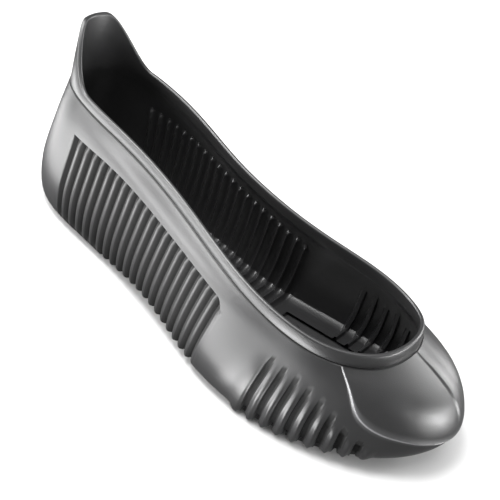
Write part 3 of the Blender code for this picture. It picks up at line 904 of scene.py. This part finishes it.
TREAD_GREY = 0.016
TREAD_ROUGHNESS = 0.6
TREAD_GRAIN = 0.25
TREAD_SPECULAR = 0.5
PLATE_SHARP_ANGLE = 30.0
tread = rubber("tread_rubber", TREAD_GREY, TREAD_ROUGHNESS, TREAD_GRAIN, TREAD_SPECULAR)
PADS = (
    ("heel_tread", "heel_outsole", 0.0, HEEL_PAD_FRONT, HEEL_PAD_FRONT, False),
    ("forefoot_tread", "forefoot_outsole", FOREFOOT_PAD_REAR, LENGTH, FOREFOOT_PAD_REAR, True),
)
for name, node, first_x, last_x, tiles_from, pips in PADS:
    pad = add_piece(name, tread_pad(first_x, last_x, tiles_from, pips), tread, PLATE_SHARP_ANGLE)
    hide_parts(node)
    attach(pad, "root")

# The studio floor. A sheet of white paper, far larger than the shoe that stands on it.
FLOOR_HALF = 3.0
PAPER_WHITE = 0.6
PAPER_ROUGHNESS = 0.9
paper = bpy.data.materials.new("white_paper")
paper.use_nodes = True
paper_shader = paper.node_tree.nodes["Principled BSDF"]
paper_shader.inputs["Base Color"].default_value = (PAPER_WHITE, PAPER_WHITE, PAPER_WHITE, 1.0)
paper_shader.inputs["Roughness"].default_value = PAPER_ROUGHNESS
paper_mesh = bmesh.new()
bmesh.ops.create_grid(paper_mesh, x_segments=1, y_segments=1, size=FLOOR_HALF)
studio_floor = add_piece("studio_floor", paper_mesh, paper, PLATE_SHARP_ANGLE)
studio_floor.visible_glossy = False

# The light. A dim white room, soft boxes a metre or more from the shoe, and glowing panels on the floor
# beside it. Each lamp is where a part of the rubber mirrors it, and the camera itself sees none of them.
ROOM_STRENGTH = 0.28
world = bpy.data.worlds.new("white_room")
bpy.context.scene.world = world
world.use_nodes = True
world.node_tree.nodes["Background"].inputs["Color"].default_value = (1.0, 1.0, 1.0, 1.0)
world.node_tree.nodes["Background"].inputs["Strength"].default_value = ROOM_STRENGTH
bpy.context.scene.view_settings.view_transform = "Standard"

AIM = Vector((0.0, 0.0, 0.045))
SoftBox = namedtuple("SoftBox", "name azimuth elevation distance width height radiance")
SOFT_BOXES = (
    SoftBox("overhead", 0.0, 90.0, 1.4, 1.0, 1.0, 4.5),
    SoftBox("behind_heel", -156.0, 29.0, 1.0, 0.95, 0.3, 15.0),
    SoftBox("into_the_collar", -137.0, 66.0, 1.0, 0.4, 0.3, 28.0),
    SoftBox("beside_heel", -126.0, 10.0, 1.0, 0.45, 0.35, 15.0),
    SoftBox("beyond_toe", 26.0, 8.0, 1.0, 0.75, 0.3, 6.0),
    SoftBox("toe_glint", 24.0, 8.0, 1.0, 0.16, 0.16, 34.0),
    SoftBox("inner_side", 54.0, 32.0, 1.0, 0.45, 0.3, 4.0),
    SoftBox("along_spine", 63.0, 14.0, 1.0, 0.26, 0.42, 10.0),
)
FloorPanel = namedtuple("FloorPanel", "name x y turn length width radiance")
FLOOR_PANELS = (
    FloorPanel("beside_the_ribs", -0.13, -0.16, 0.0, 0.22, 0.12, 11.0),
    FloorPanel("beside_the_panel", 0.005, -0.14, 0.0, 0.05, 0.13, 6.0),
    FloorPanel("beside_the_grooves", 0.065, -0.115, 0.0, 0.07, 0.09, 11.0),
    FloorPanel("further_out", 0.02, -0.3, 0.0, 0.3, 0.12, 5.0),
    FloorPanel("behind_the_heel", -0.197, -0.055, -30.0, 0.15, 0.07, 6.0),
)
PANEL_LIFT = 0.002


def add_lamp(name, place, rotation, width, height, radiance):
    """A flat lamp that is as bright as its radiance says, whatever its size."""
    light = bpy.data.lights.new(name, "AREA")
    light.shape = "RECTANGLE"
    light.size = width
    light.size_y = height
    light.energy = radiance * math.pi * width * height
    lamp = bpy.data.objects.new(name, light)
    lamp.location = place
    lamp.rotation_euler = rotation.to_euler()
    lamp.visible_camera = False
    bpy.context.scene.collection.objects.link(lamp)


for box in SOFT_BOXES:
    turn = Matrix.Rotation(math.radians(box.azimuth), 3, "Z")
    tilt = Matrix.Rotation(math.radians(-box.elevation), 3, "Y")
    spot = AIM + turn @ tilt @ Vector((box.distance, 0.0, 0.0))
    facing = (AIM - spot).to_track_quat("-Z", "Y")
    add_lamp(box.name, spot, facing, box.width, box.height, box.radiance)
for panel in FLOOR_PANELS:
    upwards = Matrix.Rotation(math.radians(panel.turn), 3, "Z") @ Matrix.Rotation(math.pi, 3, "X")
    add_lamp(panel.name, (panel.x, panel.y, PANEL_LIFT), upwards, panel.length, panel.width, panel.radiance)

# The camera, rolled as the shoe lies in the picture
CAMERA_PLACE = Vector((0.169, -0.3982, 0.386))
CAMERA_ROLL = math.radians(24.4)
CAMERA_LENS = 76.0
CAMERA_SENSOR = 36.0
camera = bpy.data.objects.new("camera", bpy.data.cameras.new("camera"))
camera.data.lens = CAMERA_LENS
camera.data.sensor_width = CAMERA_SENSOR
facing = (AIM - CAMERA_PLACE).to_track_quat("-Z", "Y").to_matrix().to_4x4()
camera.matrix_world = Matrix.Translation(CAMERA_PLACE) @ facing @ Matrix.Rotation(CAMERA_ROLL, 4, "Z")
bpy.context.scene.collection.objects.link(camera)
bpy.context.scene.camera = camera
